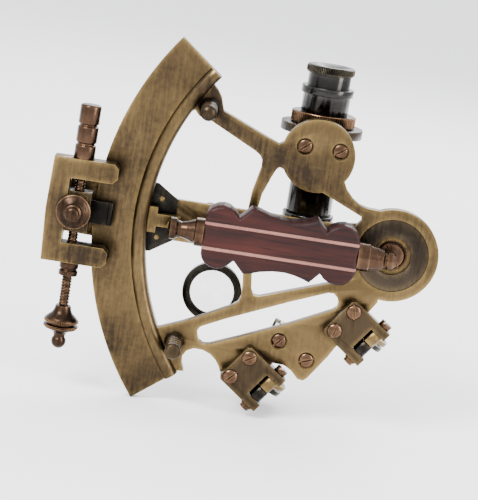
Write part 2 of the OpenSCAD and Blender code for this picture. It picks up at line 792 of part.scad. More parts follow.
module index_arm() {
    boss_r = 11;
    tail_half = 9;
    half_w = arm_w * mid;
    neck_x = -73;
    mirror_screw_x = 4.6;
    window_outer_x = -98;
    window_inner_x = -82.5;
    window_half = 6.5;
    color(brass) stand() difference() {
        union() {
            disc(boss_r, arm_front_z, arm_back_z);
            slab([
                [0, boss_r - cut], [-20, half_w], [neck_x, half_w], [-78, half_w + 2], [-84, half_w + 3],
                [bracket_outer_x, tail_half], [bracket_outer_x, -tail_half], [-84, -half_w - 3],
                [-78, -half_w - 2], [neck_x, -half_w], [-20, -half_w], [0, cut - boss_r]
            ], arm_front_z, arm_back_z);
        }
        disc(screw_shank_r, arm_front_z - cut, arm_back_z + cut);
        for (side = [-1, 1]) {
            translate([side * mirror_screw_x, -6.4, 0]) disc(0.9, arm_front_z - cut, arm_back_z + cut);
            translate([-111.8, side * 6, 0]) disc(0.9, arm_front_z - cut, arm_back_z + cut);
            translate([-78.4, side * 6.5, 0]) disc(0.9, arm_front_z - cut, arm_back_z + cut);
        }
        slab([[-40, 2.5], [-24, 2.5], [-24, -2.5], [-40, -2.5]], arm_front_z - cut, arm_back_z + cut);
        block(window_outer_x, window_inner_x, -window_half, window_half, arm_front_z - cut, arm_back_z + cut);
        translate([magnifier_pivot_x, 0, 0]) disc(1.2, arm_front_z - cut, arm_back_z + cut);
    }
}

module index_shaft() {
    shaft_top_z = -1.1;
    color(steel) stand() difference() {
        disc(shaft_r, arm_back_z, shaft_top_z);
        disc(screw_shank_r, arm_back_z - cut, cut);
    }
}

module pivot_screw() {
    head_z = -1.1;
    head_h = 1.5;
    turn = -55;
    color(copper) stand() rotate([0, 0, turn]) difference() {
        union() {
            rotate_extrude($fn = round_fn) polygon([
                [0, head_z], [pivot_screw_r, head_z], [pivot_screw_r, head_z + head_h * mid],
                [pivot_screw_r - 0.6, head_z + head_h], [0, head_z + head_h + 0.2]
            ]);
            disc(screw_shank_r, arm_front_z, head_z);
        }
        block(-2 * pivot_screw_r, 2 * pivot_screw_r, -slot_w * mid, slot_w * mid, head_z + head_h - slot_depth, 2);
    }
}

// Bevelled plate on the front of the arm's end, over the graduated arc
module vernier_plate() {
    plate_t = 0.4;
    vernier_r = 87.6;
    vernier_half_angle = 8;
    edge_step = 2;
    outer_edge = [for (a = [-vernier_half_angle : edge_step : vernier_half_angle])
        [-vernier_r * cos(a), vernier_r * sin(a)]];
    color(blackened) stand() difference() {
        slab(concat(outer_edge, [[-84, 12], [-80, 11.6], [-76.4, 9.2], [-73, arm_w * mid], [-73, -arm_w * mid],
            [-76.4, -9.2], [-80, -11.6], [-84, -12]]), arm_back_z, arm_back_z + plate_t);
        for (side = [-1, 1]) {
            translate([-78.4, side * 6.5, 0]) disc(0.9, arm_front_z - cut, 0);
        }
    }
}

module vernier_pins() {
    pin_top_z = arm_back_z + 0.7;
    color(brass) stand() for (side = [-1, 1]) {
        translate([-78.4, side * 6.5, 0]) disc(0.9, arm_front_z - 0.4, pin_top_z);
    }
}

module index_mirror_bracket() {
    color(brass) difference() {
        on_index_mirror() mirror_bracket(arm_front_z, -6, 8.6);
        stand() for (side = [-1, 1]) {
            translate([side * 4.6, -6.4, 0]) disc(0.9, arm_front_z - 4, cut);
        }
        stand() disc(screw_shank_r + running_gap, arm_front_z - 4, cut);
    }
}

module index_mirror_clip() {
    color(silver) on_index_mirror() mirror_clip(arm_front_z);
}

module index_mirror_glass() {
    color(mirror_glass) on_index_mirror() mirror_plate(arm_front_z);
}

module index_mirror_screws() {
    color(copper) stand() for (side = [-1, 1]) {
        translate([side * 4.6, -6.4, arm_front_z - mirror_foot_t]) mirror([0, 0, 1])
            slotted_screw(1.5, 0.8, 0.9, arm_t + mirror_foot_t, 20);
    }
}

// C-shaped bracket that carries the tangent screw round the limb's edge
module tangent_bracket() {
    foot_inner_x = -108.9;
    round_in = 1.5;
    arm_low = window_half_h;
    arm_high = bracket_half_h;
    limb_side = [
        [bracket_inner_x - round_in, arm_high], [bracket_inner_x, arm_high - round_in],
        [bracket_inner_x, arm_low + round_in], [bracket_inner_x - round_in, arm_low]
    ];
    low_side = [for (i = [3 : -1 : 0]) [limb_side[i][0], -limb_side[i][1]]];
    color(brass) stand() difference() {
        union() {
            slab(concat([[bracket_outer_x, arm_high]], limb_side, [[window_x, arm_low], [window_x, -arm_low]],
                low_side, [[bracket_outer_x, -arm_high], [bracket_outer_x - 0.7, 0]]), lap_gap, bracket_t + lap_gap);
            block(bracket_outer_x, foot_inner_x, -9, 9, arm_back_z, lap_gap + cut);
        }
        translate([tangent_x, 0, tangent_z + lap_gap]) rotate([90, 0, 0])
            cylinder(h = 4 * bracket_half_h, r = tangent_bore_r, center = true, $fn = round_fn);
        for (side = [-1, 1]) {
            translate([-111.8, side * 6, 0]) disc(0.9, arm_back_z - cut, arm_back_z + 4);
        }
    }
}

module bracket_screws() {
    color(copper) stand() for (side = [-1, 1]) {
        translate([-111.8, side * 6, arm_front_z]) mirror([0, 0, 1]) slotted_screw(1.6, 0.8, 0.9, arm_t + 4, 70);
    }
}

module on_tangent_axis() {
    stand() translate([tangent_x, 0, tangent_z + lap_gap]) children();
}

// Sleeve over the screw's upper end, and the short bush under the lower arm
module tangent_barrel() {
    top_y = bracket_half_h + barrel_length;
    low_y = -bracket_half_h;
    bush_r = 3.15;
    color(copper) on_tangent_axis() difference() {
        union() {
            turned_y([
                [0, bracket_half_h], [barrel_r, bracket_half_h], [barrel_r, bracket_half_h + 4.4],
                [2.9, bracket_half_h + 4.8], [2.9, bracket_half_h + 5.2], [barrel_r, bracket_half_h + 5.6],
                [barrel_r, bracket_half_h + 10.6], [2.9, bracket_half_h + 11], [2.9, bracket_half_h + 11.4],
                [barrel_r, bracket_half_h + 11.8], [barrel_r, top_y - 0.4], [barrel_r - 0.4, top_y], [0, top_y]
            ]);
            turned_y([
                [0, low_y], [bush_r, low_y], [bush_r, low_y - 2], [2.7, low_y - 2.3], [2.7, low_y - 2.7],
                [bush_r, low_y - 3], [bush_r, low_y - collar_drop], [0, low_y - collar_drop]
            ]);
        }
        turned_y([[0, low_y - 20], [tangent_bore_r, low_y - 20], [tangent_bore_r, top_y - 3], [0, top_y - 3]]);
    }
}

module tangent_screw() {
    color(copper) on_tangent_axis() turned_y([
        [0, knob_top_y - cut], [tangent_r, knob_top_y - cut], [tangent_r, bracket_half_h + barrel_length - 3.6],
        [tangent_r - 0.4, bracket_half_h + barrel_length - 3.2], [0, bracket_half_h + barrel_length - 3.2]
    ]);
}

module tangent_knob() {
    rim = 5.75;
    color(copper) on_tangent_axis() difference() {
        turned_y([
            [0, -47], [1.6, -47], [2.4, -46.2], [2.5, -45.2], [2, -43.8], [1.9, -42.6], [2.6, -41.2],
            [rim - 0.5, -40.4], [rim, -39.8], [rim, -39], [4.6, -38.7], [4.6, -38.3], [rim, -38], [rim, -37.2],
            [rim - 0.5, -36.8], [3.4, -34.8], [2.8, -33], [2.6, knob_top_y], [0, knob_top_y]
        ]);
        turned_y([[0, knob_top_y - cut], [tangent_r, knob_top_y - cut], [tangent_r, 0], [0, 0]]);
    }
}

// Block that rides on the tangent screw in the bracket's window
module clamp_block() {
    inner_x = window_x + lap_gap;
    top_z = knob_base_z - 0.5;
    lug = 1.2;
    color(dark_brass) stand() difference() {
        union() {
            block(inner_x, limb_clear_x, -block_half_h, block_half_h, lap_gap, top_z);
            block(inner_x, limb_clear_x - lug, -block_half_h + lug, block_half_h - lug, top_z - cut, knob_base_z + 0.2);
        }
        translate([tangent_x, 0, tangent_z + lap_gap]) rotate([90, 0, 0])
            cylinder(h = 4 * block_half_h, r = tangent_bore_r, center = true, $fn = round_fn);
        translate([clamp_x, 0, 0]) disc(1, tangent_z + tangent_r + 0.6, 2 * bracket_t);
    }
}

// Spring shoe that laps over the limb, curled at its end
module clamp_shoe() {
    shoe_half_h = 3.8;
    shoe_z = 1.4;
    shoe_t = 1.6;
    curl_x = -94.6;
    color(blackened) stand() union() {
        block(limb_clear_x, curl_x, -shoe_half_h, shoe_half_h, shoe_z, shoe_z + shoe_t);
        translate([curl_x, 0, shoe_z + shoe_t * mid]) rotate([90, 0, 0])
            cylinder(h = 2 * shoe_half_h, r = 1.1, center = true, $fn = round_fn);
    }
}

module clamp_knob() {
    skirt_z = knob_base_z + 0.5;
    color(copper) stand() translate([clamp_x, 0, 0]) union() {
        rotate_extrude($fn = round_fn) polygon([
            [0, skirt_z], [clamp_knob_r, skirt_z], [clamp_knob_r, skirt_z + 0.6], [5, skirt_z + 1.3],
            [3.4, skirt_z + 2], [2.5, skirt_z + 3], [2.2, skirt_z + 4.4], [2.3, skirt_z + 6],
            [1.9, skirt_z + 6.5], [0, skirt_z + 6.6]
        ]);
        disc(1 - running_gap, tangent_z + tangent_r + 0.9, skirt_z + cut);
    }
}

module magnifier_post() {
    cap_z = magnifier_low_z - 1.8;
    color(brass) stand() translate([magnifier_pivot_x, 0, 0]) union() {
        rotate_extrude($fn = round_fn) polygon([
            [0, cap_z], [2.2, cap_z], [2.2, magnifier_low_z - 0.1], [1.2, magnifier_low_z - 0.1],
            [1.2, magnifier_high_z + 0.1], [2.2, magnifier_high_z + 0.1], [2.2, magnifier_high_z + 2],
            [1.7, magnifier_high_z + 2.5], [1.7, -11], [2.6, -10], [2.6, arm_front_z], [0, arm_front_z]
        ]);
        disc(1.2, arm_front_z - cut, arm_back_z);
    }
}

module on_magnifier() {
    stand() translate([magnifier_pivot_x, 0, 0]) rotate([0, 0, magnifier_angle]) children();
}

module magnifier_arm() {
    ring_high_z = magnifier_high_z + 0.7;
    ring_low_z = magnifier_low_z - 0.5;
    color(blackened) on_magnifier() difference() {
        union() {
            disc(3.4, magnifier_low_z, magnifier_high_z);
            block(0, magnifier_reach - magnifier_lens_r - cut, -2, 2, magnifier_low_z, magnifier_high_z);
            translate([magnifier_reach, 0, 0]) disc(magnifier_r, ring_low_z, ring_high_z);
        }
        disc(1.2 + running_gap, -40, 0);
        translate([magnifier_reach, 0, 0]) disc(magnifier_lens_r, -40, 0);
        translate([magnifier_reach, 0, 0]) disc(magnifier_lens_r + 0.8, ring_high_z - 0.6, 0);
    }
}

module magnifier_lens() {
    lens_z = (magnifier_low_z + magnifier_high_z) * mid;
    color(clear_glass) on_magnifier() translate([magnifier_reach, 0, lens_z]) rotate_extrude($fn = round_fn)
        polygon([
            [0, -1.5], [4, -1.2], [magnifier_lens_r, -0.5], [magnifier_lens_r, 0.5], [4, 1.2], [0, 1.5]
        ]);
}

frame();
scale_arc();
bearing_bush();
bearing_plate();
upper_foot();
lower_foot();
grip();
grip_tie_rod();
grip_outer_ferrule();
grip_inner_ferrule();
grip_outer_post();
grip_inner_post();
telescope_carrier();
carrier_screws();
telescope_tube();
objective_ring();
objective_lens();
telescope_lock_ring();
eyepiece_tube();
eyepiece_cap();
eyepiece_lens();
horizon_mirror_bracket();
horizon_mirror_clip();
horizon_mirror_glass();
horizon_mirror_screws();
horizon_shade_bracket();
index_shade_bracket();
horizon_shade_pin();
index_shade_pin();
shade_bracket_screws();
horizon_shade_light();
horizon_shade_dark();
index_shade_light();
index_shade_dark();
horizon_light_glass();
horizon_dark_glass();
index_light_glass();
index_dark_glass();
index_arm();
index_shaft();
pivot_screw();
vernier_plate();
vernier_pins();
index_mirror_bracket();
index_mirror_clip();
index_mirror_glass();
index_mirror_screws();
tangent_bracket();
tangent_barrel();
bracket_screws();
clamp_block();
clamp_shoe();
clamp_knob();
tangent_screw();
tangent_knob();
magnifier_post();
magnifier_arm();
magnifier_lens();
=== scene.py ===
"""A small brass sextant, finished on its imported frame.

Everything is in metres, in the frame's own axes: X runs along the midline from the limb to
the pivot, Y out of the front, and Z up along the telescope."""
import json
import math

import bmesh
import bpy
import numpy as np
from mathutils import Matrix, Vector


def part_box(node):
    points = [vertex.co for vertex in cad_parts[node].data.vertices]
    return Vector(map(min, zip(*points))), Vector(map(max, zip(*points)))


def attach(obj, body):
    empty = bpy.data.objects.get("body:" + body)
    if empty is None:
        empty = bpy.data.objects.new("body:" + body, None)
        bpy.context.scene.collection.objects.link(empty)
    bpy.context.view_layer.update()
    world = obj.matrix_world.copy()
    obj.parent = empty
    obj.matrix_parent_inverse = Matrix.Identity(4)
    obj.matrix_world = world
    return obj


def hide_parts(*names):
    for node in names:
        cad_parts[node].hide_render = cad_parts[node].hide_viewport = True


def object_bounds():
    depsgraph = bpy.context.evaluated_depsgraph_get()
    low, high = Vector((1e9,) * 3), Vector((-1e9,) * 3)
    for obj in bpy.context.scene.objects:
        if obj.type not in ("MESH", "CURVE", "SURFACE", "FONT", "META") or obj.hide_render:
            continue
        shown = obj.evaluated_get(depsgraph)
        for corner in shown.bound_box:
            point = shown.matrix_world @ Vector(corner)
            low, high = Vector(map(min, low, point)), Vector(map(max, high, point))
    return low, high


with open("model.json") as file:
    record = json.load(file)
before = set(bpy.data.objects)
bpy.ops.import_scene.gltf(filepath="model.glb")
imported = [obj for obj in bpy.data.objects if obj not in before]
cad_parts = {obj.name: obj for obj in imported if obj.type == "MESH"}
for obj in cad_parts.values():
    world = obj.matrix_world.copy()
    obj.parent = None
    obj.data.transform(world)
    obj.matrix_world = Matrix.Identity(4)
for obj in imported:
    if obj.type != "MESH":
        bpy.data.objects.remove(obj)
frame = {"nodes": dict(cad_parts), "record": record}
cad_low, cad_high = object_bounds()
nodes = frame["nodes"]

MM = 0.001
FULL_TURN = 2 * math.pi
ROUND_STEPS = 96
SMALL_ROUND_STEPS = 48
SAME_PLACE = 0.002 * MM


# ---------------------------------------------------------------- camera, lights and floor


def make_camera():
    """Looks at the grip side from a little above, tilted as the instrument is held."""
    aim = Vector((-50.5, 0.0, -5.8)) * MM
    distance = 720 * MM
    lift, side, roll = math.radians(11), math.radians(1), math.radians(-8.88)
    level_part = math.cos(lift)
    back = Vector((-math.sin(side) * level_part, -math.cos(side) * level_part, math.sin(lift)))
    data = bpy.data.cameras.new("camera")
    data.lens = 156.1
    data.clip_start, data.clip_end = 0.01, 50
    camera = bpy.data.objects.new("camera", data)
    bpy.context.scene.collection.objects.link(camera)
    camera.rotation_mode = "QUATERNION"
    camera.location = aim + back * distance
    level = (-back).to_track_quat("-Z", "Y")
    camera.rotation_quaternion = Matrix.Rotation(roll, 3, -back).to_quaternion() @ level
    bpy.context.scene.camera = camera


def area_light(name, place, target, size, power):
    data = bpy.data.lights.new(name, "AREA")
    data.shape = "RECTANGLE"
    data.size, data.size_y = size
    data.energy = power
    lamp = bpy.data.objects.new(name, data)
    bpy.context.scene.collection.objects.link(lamp)
    lamp.location = place
    lamp.rotation_euler = (Vector(target) - Vector(place)).to_track_quat("-Z", "Y").to_euler()


def make_lamps():
    """Soft boxes above and to each side: place from the middle, size, and power in watts."""
    lamps = {
        "key_light": ((-0.45, -0.60, 0.65), (0.45, 0.35), 16),
        "fill_light": ((0.70, -0.50, 0.25), (0.3, 0.6), 7),
        "back_light": ((0.25, 0.75, 0.60), (0.6, 0.4), 9),
    }
    middle = (cad_low + cad_high) / 2
    for name, (offset, size, power) in lamps.items():
        area_light(name, middle + Vector(offset), middle, size, power)


def make_surround():
    """An even pale surround, faintly cool."""
    world = bpy.data.worlds.new("surround")
    world.use_nodes = True
    surround = world.node_tree.nodes["Background"]
    surround.inputs["Color"].default_value = (0.97, 0.98, 1.0, 1)
    surround.inputs["Strength"].default_value = 2.3
    bpy.context.scene.world = world


def make_floor():
    """A pale paper floor under the lowest point of the part."""
    half = 6.0
    corners = [(x * half, y * half, cad_low.z) for x, y in ((-1, -1), (1, -1), (1, 1), (-1, 1))]
    mesh = bpy.data.meshes.new("floor")
    mesh.from_pydata(corners, [], [(0, 1, 2, 3)])
    paint = bpy.data.materials.new("floor_paper")
    paint.use_nodes = True
    shader = paint.node_tree.nodes["Principled BSDF"]
    shader.inputs["Base Color"].default_value = (0.93, 0.93, 0.93, 1)
    shader.inputs["Roughness"].default_value = 0.9
    mesh.materials.append(paint)
    floor = bpy.data.objects.new("floor", mesh)
    bpy.context.scene.collection.objects.link(floor)


# ---------------------------------------------------------------- materials


class Shading:
    """A material's node tree, with short calls for the nodes it is made of."""

    def __init__(self, name):
        self.material = bpy.data.materials.new(name)
        self.material.use_nodes = True
        self.tree = self.material.node_tree
        self.shader = self.tree.nodes["Principled BSDF"]
        self.place = self.add("ShaderNodeTexCoord").outputs["Object"]

    def add(self, kind, **settings):
        made = self.tree.nodes.new(kind)
        for key, value in settings.items():
            setattr(made, key, value)
        return made

    def wire(self, source, target):
        self.tree.links.new(source, target)

    def mapped(self, scale, turn=(0, 0, 0)):
        made = self.add("ShaderNodeMapping")
        made.inputs["Scale"].default_value = scale
        made.inputs["Rotation"].default_value = turn
        self.wire(self.place, made.inputs["Vector"])
        return made.outputs["Vector"]

    def noise(self, scale, detail=4.0, rough=0.55, vector=None, distortion=0.0):
        made = self.add("ShaderNodeTexNoise")
        made.inputs["Scale"].default_value = scale
        made.inputs["Detail"].default_value = detail
        made.inputs["Roughness"].default_value = rough
        made.inputs["Distortion"].default_value = distortion
        self.wire(vector or self.place, made.inputs["Vector"])
        return made.outputs["Fac"]

    def ranged(self, value, low, high, to_low=0.0, to_high=1.0):
        made = self.add("ShaderNodeMapRange")
        made.inputs["From Min"].default_value = low
        made.inputs["From Max"].default_value = high
        made.inputs["To Min"].default_value = to_low
        made.inputs["To Max"].default_value = to_high
        self.wire(value, made.inputs["Value"])
        return made.outputs["Result"]

    def maths(self, operation, first, second):
        made = self.add("ShaderNodeMath", operation=operation)
        for slot, value in zip(made.inputs, (first, second)):
            if isinstance(value, (int, float)):
                slot.default_value = value
            else:
                self.wire(value, slot)
        return made.outputs["Value"]

    def weighted(self, *parts):
        """The sum of (pattern, share) pairs."""
        total = None
        for pattern, share in parts:
            part = self.maths("MULTIPLY", pattern, share)
            total = part if total is None else self.maths("ADD", total, part)
        return total

    def mixed(self, factor, first, second):
        made = self.add("ShaderNodeMix", data_type="RGBA")
        self.wire(factor, made.inputs["Factor"])
        for name, value in (("A", first), ("B", second)):
            slot = next(s for s in made.inputs if s.name == name and s.type == "RGBA")
            if isinstance(value, tuple):
                slot.default_value = (*value, 1)
            else:
                self.wire(value, slot)
        return next(s for s in made.outputs if s.type == "RGBA")

    def edges(self, radius, low, high):
        """Bright along edges: how far a softened normal turns away from the true one."""
        soft = self.add("ShaderNodeBevel", samples=6)
        soft.inputs["Radius"].default_value = radius
        true = self.add("ShaderNodeNewGeometry")
        dot = self.add("ShaderNodeVectorMath", operation="DOT_PRODUCT")
        self.wire(soft.outputs["Normal"], dot.inputs[0])
        self.wire(true.outputs["Normal"], dot.inputs[1])
        turned = self.maths("SUBTRACT", 1.0, dot.outputs["Value"])
        return self.ranged(turned, low, high)

    def painted_hollow_shade(self, distance):
        """Painted shade: dark where the surface is closed in by its neighbours, as ambient occlusion finds it.
        """
        shade = self.add("ShaderNodeAmbientOcclusion", samples=6)
        shade.inputs["Distance"].default_value = distance
        closed, open_air = 0.35, 0.95
        return self.ranged(shade.outputs["AO"], closed, open_air, 1.0, 0.0)

    def bumped(self, height, strength, distance):
        made = self.add("ShaderNodeBump")
        made.inputs["Strength"].default_value = strength
        made.inputs["Distance"].default_value = distance
        self.wire(height, made.inputs["Height"])
        self.wire(made.outputs["Normal"], self.shader.inputs["Normal"])

    def finish(self, color, roughness, metallic):
        self.wire(color, self.shader.inputs["Base Color"])
        self.wire(roughness, self.shader.inputs["Roughness"])
        self.shader.inputs["Metallic"].default_value = metallic
        return self.material


EDGE_BAND = 3.2 * MM
EDGE_LINE = 0.4 * MM
HOLLOW_REACH = 2.2 * MM
SCRATCH_DEPTH = 0.06 * MM
GRIP_LINE_AT = 4.1 * MM
GRIP_LINE_WIDTH = 1.15 * MM


def worn_edges(made, patina, specks, wear, color, bright):
    """Rubs a colour bright: broadly where the patina is thin, and crisply along each edge."""
    border = made.edges(EDGE_BAND, 0.0, 0.26)
    thin_patina = made.ranged(patina, 0.40, 0.58, 0.05, 0.75)
    wide = made.maths("MULTIPLY", border, thin_patina)
    color = made.mixed(made.maths("MULTIPLY", wide, wear), color, bright)
    broken = made.ranged(specks, 0.34, 0.52, 0.4, 1.0)
    crisp = made.maths("MULTIPLY", made.edges(EDGE_LINE, 0.02, 0.25), broken)
    return made.mixed(made.maths("MULTIPLY", crisp, min(wear + 0.2, 1.0)), color, bright)


def aged_metal(name, bright, body, dark, polish=0.3, wear=0.7, shade_and_grime=0.8, brushed=(5, 5, 0.5)):
    """Bronzed metal, rubbed bright along its edges, darkened in its recesses by painted shade with some dirt,
    faintly brushed.
    """
    made = Shading(name)
    regions = made.noise(17, 2, 0.5, distortion=0.4)
    clouds = made.noise(70, 4, 0.6)
    streaks = made.noise(190, 4, 0.6, made.mapped(brushed))
    specks = made.noise(560, 4, 0.7)
    patina = made.weighted((regions, 0.52), (clouds, 0.20), (streaks, 0.18), (specks, 0.10))
    color = made.mixed(made.ranged(patina, 0.40, 0.56), dark, body)
    color = worn_edges(made, patina, specks, wear, color, bright)
    # Painted shade: recesses darkened by ambient occlusion, standing in partly for dirt.
    shade_and_grime_dark = tuple(0.45 * channel for channel in dark)
    shaded_recesses = made.maths("MULTIPLY", made.painted_hollow_shade(HOLLOW_REACH), shade_and_grime)
    color = made.mixed(shaded_recesses, color, shade_and_grime_dark)
    strokes = made.noise(300, 3, 0.65, made.mapped(brushed))
    stroke_gloss = made.ranged(strokes, 0.3, 0.7, polish - 0.07, polish + 0.10)
    dull_patina = made.ranged(patina, 0.56, 0.42, 0.0, 0.12)
    roughness = made.maths("ADD", stroke_gloss, dull_patina)
    scratches = made.maths("ADD", strokes, made.maths("MULTIPLY", specks, 0.6))
    made.bumped(scratches, 0.22, SCRATCH_DEPTH)
    return made.finish(color, roughness, 1.0)


def grip_wood():
    """Reddish close-grained hardwood with two pale lines let in along it."""
    shade, heart, pore = (0.006, 0.0013, 0.0011), (0.036, 0.0066, 0.0048), (0.003, 0.001, 0.001)
    line_dark, line_pale = (0.15, 0.060, 0.048), (0.27, 0.13, 0.105)
    worn, shade_in_recesses = (0.075, 0.020, 0.013), (0.002, 0.001, 0.001)
    line_blur = 0.15 * MM
    made = Shading("grip_wood")
    grain = made.noise(260, 6, 0.65, made.mapped((0.10, 1, 1)), distortion=0.6)
    broad = made.noise(60, 3, 0.5, made.mapped((0.22, 1, 1)))
    tone = made.weighted((grain, 0.6), (broad, 0.4))
    color = made.mixed(made.ranged(tone, 0.38, 0.64), shade, heart)
    pores = made.ranged(made.noise(900, 2, 0.5, made.mapped((0.06, 1, 1))), 0.58, 0.66)
    color = made.mixed(made.maths("MULTIPLY", pores, 0.55), color, pore)
    axes = made.add("ShaderNodeSeparateXYZ")
    made.wire(made.place, axes.inputs["Vector"])
    across = made.maths("ABSOLUTE", axes.outputs["Z"], 0.0)
    off_line = made.maths("ABSOLUTE", made.maths("SUBTRACT", across, GRIP_LINE_AT), 0.0)
    on_line = made.ranged(off_line, GRIP_LINE_WIDTH * 0.5, GRIP_LINE_WIDTH * 0.5 - line_blur)
    pale = made.mixed(made.ranged(grain, 0.3, 0.7), line_dark, line_pale)
    color = made.mixed(on_line, color, pale)
    rubbed = made.maths("MULTIPLY", made.edges(0.8 * MM, 0.03, 0.4), 0.35)
    color = made.mixed(rubbed, color, worn)
    # Painted shade: the wood darkened where ambient occlusion finds it closed in.
    color = made.mixed(made.maths("MULTIPLY", made.painted_hollow_shade(1.5 * MM), 0.6), color, shade_in_recesses)
    roughness = made.ranged(tone, 0.3, 0.7, 0.50, 0.36)
    made.bumped(made.maths("SUBTRACT", grain, made.maths("MULTIPLY", pores, 0.8)), 0.35, 0.10 * MM)
    made.shader.inputs["Specular IOR Level"].default_value = 0.16
    return made.finish(color, roughness, 0.0)


def ground_glass(name, tint, smear=0.03):
    """Polished glass, tinted right through, with the faintest smears."""
    made = Shading(name)
    haze = made.noise(140, 3, 0.6)
    deeper_tint = tuple(0.93 * channel for channel in tint)
    color = made.mixed(made.ranged(haze, 0.35, 0.65), tint, deeper_tint)
    made.shader.inputs["Transmission Weight"].default_value = 1.0
    made.shader.inputs["IOR"].default_value = 1.45
    made.bumped(haze, 0.02, 0.02 * MM)
    return made.finish(color, made.ranged(haze, 0.4, 0.7, 0.0, smear), 0.0)


def silvered_mirror():
    """Silvered glass with the start of a bloom."""
    made = Shading("silvered_mirror")
    haze = made.noise(160, 4, 0.6)
    color = made.mixed(made.ranged(haze, 0.55, 0.75), (0.86, 0.89, 0.91), (0.70, 0.73, 0.74))
    made.bumped(haze, 0.02, 0.02 * MM)
    return made.finish(color, made.ranged(haze, 0.4, 0.8, 0.02, 0.10), 1.0)


# Each metal: its colour where rubbed, its body colour and its darkest patina, then its own polish and wear
FINISHES = {
    "brass": aged_metal("bronzed_brass", (0.43, 0.285, 0.092), (0.112, 0.074, 0.032), (0.027, 0.019, 0.013)),
    "dark_brass": aged_metal(
        "dark_bronze", (0.30, 0.20, 0.080), (0.042, 0.029, 0.017), (0.012, 0.0095, 0.007), 0.24, 0.4
    ),
    "copper": aged_metal(
        "copper_brown", (0.27, 0.150, 0.080), (0.054, 0.030, 0.019), (0.014, 0.009, 0.006), 0.19
    ),
    # The gunmetal's sixth value, 0.6, sets how strongly painted shade and dirt darken its recesses.
    "steel": aged_metal(
        "gunmetal", (0.17, 0.16, 0.15), (0.024, 0.023, 0.022), (0.012, 0.0115, 0.011), 0.10, 0.45, 0.6,
        brushed=(1, 1, 14),
    ),
    "blackened": aged_metal(
        "blackened", (0.10, 0.085, 0.06), (0.010, 0.009, 0.008), (0.005, 0.0045, 0.004), 0.25, 0.5
    ),
    "silver": aged_metal(
        "silvered", (0.62, 0.60, 0.54), (0.400, 0.385, 0.345), (0.250, 0.235, 0.205), 0.28, 0.4, 0.6
    ),
    "wood": grip_wood(),
    "clear_glass": ground_glass("clear_glass", (0.97, 0.96, 0.99)),
    "light_glass": ground_glass("green_glass", (0.30, 0.55, 0.38)),
    "dark_glass": ground_glass("red_glass", (0.45, 0.10, 0.07)),
    "mirror_glass": silvered_mirror(),
    "engraving": aged_metal(
        "engraved_line", (0.08, 0.07, 0.06), (0.02, 0.018, 0.016), (0.010, 0.009, 0.008), 0.45, 0.2
    ),
    "hub_plate": aged_metal(
        "hub_plate", (0.22, 0.155, 0.08), (0.030, 0.023, 0.017), (0.013, 0.010, 0.008), 0.24, 0.4
    ),
}

# Edge rounding of the solid nodes, in millimetres: the nodes that share each width
SOFT_EDGES = {
    0.9: ["tangent_bracket"],
    0.4: ["clamp_block", "horizon_shade_bracket", "index_shade_bracket"],
    0.35: ["frame"],
    0.3: ["telescope_carrier", "magnifier_arm"],
    0.25: ["clamp_shoe"],
    0.2: [
        "index_arm", "tangent_barrel", "telescope_tube", "objective_ring", "horizon_mirror_bracket",
        "index_mirror_bracket", "horizon_shade_light", "horizon_shade_dark", "index_shade_light",
        "index_shade_dark",
    ],
    0.15: [
        "upper_foot", "lower_foot", "eyepiece_tube", "bearing_plate", "horizon_shade_pin", "index_shade_pin",
        "vernier_pins", "magnifier_post",
    ],
    0.12: ["horizon_mirror_clip", "index_mirror_clip", "grip_outer_post", "grip_inner_post"],
}


def dress_frame_nodes():
    """Gives every node its finish, and rounds the sharp edges of the solid ones."""
    width_of = {name: width for width, names in SOFT_EDGES.items() for name in names}
    slot_of = {row["node"]: row["material_slot"] for row in frame["record"]["subparts"]}
    for name, solid in nodes.items():
        paint(solid, "hub_plate" if name == "bearing_plate" else slot_of[name])
        if name in width_of:
            soften(solid, width_of[name] * MM)


def paint(piece, finish):
    piece.data.materials.clear()
    piece.data.materials.append(FINISHES[finish])
    piece.data.polygons.foreach_set("material_index", [0] * len(piece.data.polygons))


def soften(solid, width):
    """Joins a node's loose triangles, drops the lines inside flat faces, and bevels its edges."""
    solid.data.polygons.foreach_set("use_smooth", [True] * len(solid.data.polygons))
    weld = solid.modifiers.new("weld", "WELD")
    weld.merge_threshold = SAME_PLACE
    flat = solid.modifiers.new("flat", "DECIMATE")
    flat.decimate_type = "DISSOLVE"
    flat.angle_limit = math.radians(0.6)
    bevel = solid.modifiers.new("bevel", "BEVEL")
    bevel.width = width
    bevel.segments = 2
    bevel.limit_method = "ANGLE"
    bevel.angle_limit = math.radians(34)
    bevel.harden_normals = True


# ---------------------------------------------------------------- meshes and node trees


def mesh_object(name, mesh):
    made = bpy.data.objects.new(name, mesh)
    bpy.context.scene.collection.objects.link(made)
    return made


def lathe(name, profile, steps=ROUND_STEPS):
    """A body of revolution about Z from (radius, height) points, in millimetres."""
    build = bmesh.new()
    rings = []
    for radius, height in profile:
        if radius == 0:
            rings.append([build.verts.new((0, 0, height * MM))])
            continue
        ring = []
        for step in range(steps):
            angle = FULL_TURN * step / steps
            spot = (radius * MM * math.cos(angle), radius * MM * math.sin(angle), height * MM)
            ring.append(build.verts.new(spot))
        rings.append(ring)
    closed = rings if profile[0][0] == 0 and profile[-1][0] == 0 else rings + [rings[0]]
    for low, high in zip(closed, closed[1:]):
        for step in range(steps):
            after = (step + 1) % steps
            lower = [low[step % len(low)], low[after % len(low)]]
            upper = [high[after % len(high)], high[step % len(high)]]
            corners = list(dict.fromkeys(lower + upper))
            if len(corners) > 2:
                build.faces.new(corners)
    bmesh.ops.recalc_face_normals(build, faces=build.faces)
    mesh = bpy.data.meshes.new(name)
    build.to_mesh(mesh)
    build.free()
    return mesh_object(name, mesh)


def smooth_by_angle(piece, degrees=35):
    piece.data.polygons.foreach_set("use_smooth", [True] * len(piece.data.polygons))
    piece.data.set_sharp_from_angle(angle=math.radians(degrees))


